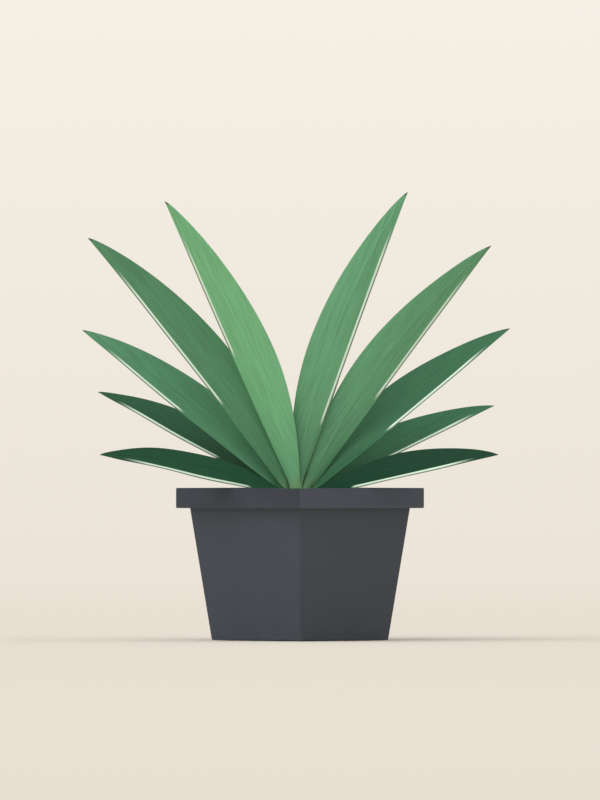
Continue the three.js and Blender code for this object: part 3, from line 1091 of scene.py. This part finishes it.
def spear():
    low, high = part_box("spear_leaf")
    t = np.linspace(0, 1, 60)
    around = np.linspace(0, 1, 72)
    x = cane_x - 1.5 * MM * t**2
    y = 2 * MM * t**2
    z = low.z + (high.z - low.z) * t
    radius = SPEAR_RADIUS * np.interp(t, SPEAR_PLACES, SPEAR_SHARES)
    rings = []
    for i in range(len(t)):
        angle = around * 2 * math.pi * SPEAR_TURNS + SPEAR_TWIST * t[i]
        outside = radius[i] * (0.78 + 0.2 * around)
        inside = outside - radius[i] * SPEAR_THICKNESS
        spiral = np.stack([np.cos(angle), np.sin(angle)], axis=1)
        path = np.concatenate([outside[:, None] * spiral, (inside[:, None] * spiral)[::-1]])
        rings.append(np.column_stack([path + (x[i], y[i]), np.full(len(path), z[i])]))
    count = 2 * len(around)
    from_edge = np.concatenate([around, around[::-1]]) * SPEAR_WIDTH
    attributes = {
        "along": np.repeat(0.1 + 0.85 * t[:, None], count, axis=1),
        "across": np.full((len(t), count), 0.5),
        "from_edge": np.tile(from_edge, (len(t), 1)),
        "underside": np.ones((len(t), count)),
    }
    return object_from_rings("spear_blade", np.array(rings), attributes)


spear_green = leaf_finish("spear_green", SPEAR_GREEN, True, SPEAR_SEED)
settle(spear(), spear_green, slot_of["spear_leaf"], "spear_leaf")
print("The spear leaf is rolled")

# %% [markdown]
# ## The floor
# A studio table is a pale sheet that fades into a pale wall. A curved backdrop would suit
# one view only, so the floor is a disc that turns see-through towards its edge.

# %% Floor
FLOOR_TONE = (221, 214, 203)
FLOOR_SIDES = 96
FLOOR_REACHES = (0.02, 0.3, 1, 2, 3.5, 5.5)  # radii of its rings, in metres
FLOOR_FADES = (1.2, 5)  # metres from the middle where it turns see-through
FLOOR_DROP = 0.3 * MM  # keeps it off the planter's underside


def floor_disc():
    rings = [level_circle(0, 0, -FLOOR_DROP, reach, FLOOR_SIDES) for reach in FLOOR_REACHES]
    faces = [tuple(range(FLOOR_SIDES))]
    for ring in range(len(rings) - 1):
        for i in range(FLOOR_SIDES):
            following = (i + 1) % FLOOR_SIDES
            inner = ring * FLOOR_SIDES
            outer = inner + FLOOR_SIDES
            faces.append((inner + i, inner + following, outer + following, outer + i))
    return object_from_mesh("studio_floor", np.concatenate(rings), faces)


def floor_paper():
    finish = Finish("floor_paper")
    reach = finish.add("VectorMath", {"operation": "LENGTH"}, {0: finish.place()}, output=1)
    finish.paint(Base_Color=tone(*FLOOR_TONE), Roughness=1, Specular_IOR_Level=0)
    solid = Signal(finish, finish.shader.outputs[0])
    clear = finish.add("BsdfTransparent")
    seen = finish.add("MixShader", sockets={0: reach.between(*FLOOR_FADES), 1: solid, 2: clear})
    finish.plug(finish.tree.nodes["Material Output"].inputs[0], seen)
    return finish.material


floor = floor_disc()
floor.data.materials.append(floor_paper())
print("The floor is", round(floor.dimensions.x, 1), "m across")

# %% [markdown]
# ## World and light
# The world gives an even light, but glossy surfaces mirror a darker room, as they do between
# black flags. The camera sees pale paper that darkens a little towards the floor. The Light
# Path node keeps the three apart.

# %% World
WORLD_LIGHT = 0.85
SHEEN_LIGHT = 0.3  # what glossy surfaces mirror: a darker room
WARM_WHITE = (1, 0.985, 0.96, 1)
PAPER_TOP = tone(246, 239, 229)
PAPER_FOOT = tone(231, 223, 210)

world = bpy.data.worlds.new("studio_world")
bpy.context.scene.world = world
world.use_nodes = True
world.cycles.sampling_method = "NONE"

air = Nodes(world.node_tree)
upward = air.add("SeparateXYZ", sockets={0: air.add("TexCoord")}, output=2)
picture_top = math.sin(math.atan(SENSOR_MM / LENS_MM / 2))
climb = air.add("MapRange", sockets={0: upward, 1: -picture_top, 2: picture_top})
paper = air.add("Background", sockets={0: air.mix(climb, PAPER_FOOT, PAPER_TOP)})
fill = air.add("Background", sockets={0: WARM_WHITE, 1: WORLD_LIGHT})
sheen = air.add("Background", sockets={0: WARM_WHITE, 1: SHEEN_LIGHT})
to_gloss = air.add("LightPath", output="Is Glossy Ray")
to_camera = air.add("LightPath", output="Is Camera Ray")
lit = air.add("MixShader", sockets={0: to_gloss, 1: fill, 2: sheen})
shown = air.add("MixShader", sockets={0: to_camera, 1: lit, 2: paper})
air.plug(world.node_tree.nodes["World Output"].inputs[0], shown)
bpy.context.scene.view_settings.view_transform = "Standard"
print("World light:", WORLD_LIGHT)

# %% [markdown]
# One broad light from the upper left gives the planter a lighter side. It is a sun and not a
# lamp, so that the floor is lit evenly.

# %% Key light
KEY_TOWARDS = (-0.48, -0.46, 0.75)  # from the plant to the light
KEY_STRENGTH = 1.1
KEY_SPREAD = 60  # degrees that the light takes up in the sky

key_data = bpy.data.lights.new("key_light", "SUN")
key_data.energy = KEY_STRENGTH
key_data.angle = math.radians(KEY_SPREAD)
key_light = bpy.data.objects.new("key_light", key_data)
key_light.location = Vector(KEY_TOWARDS) * 2
key_light.rotation_euler = (-Vector(KEY_TOWARDS)).to_track_quat("-Z", "Y").to_euler()
bpy.context.scene.collection.objects.link(key_light)
print("The key light spreads over", KEY_SPREAD, "degrees")
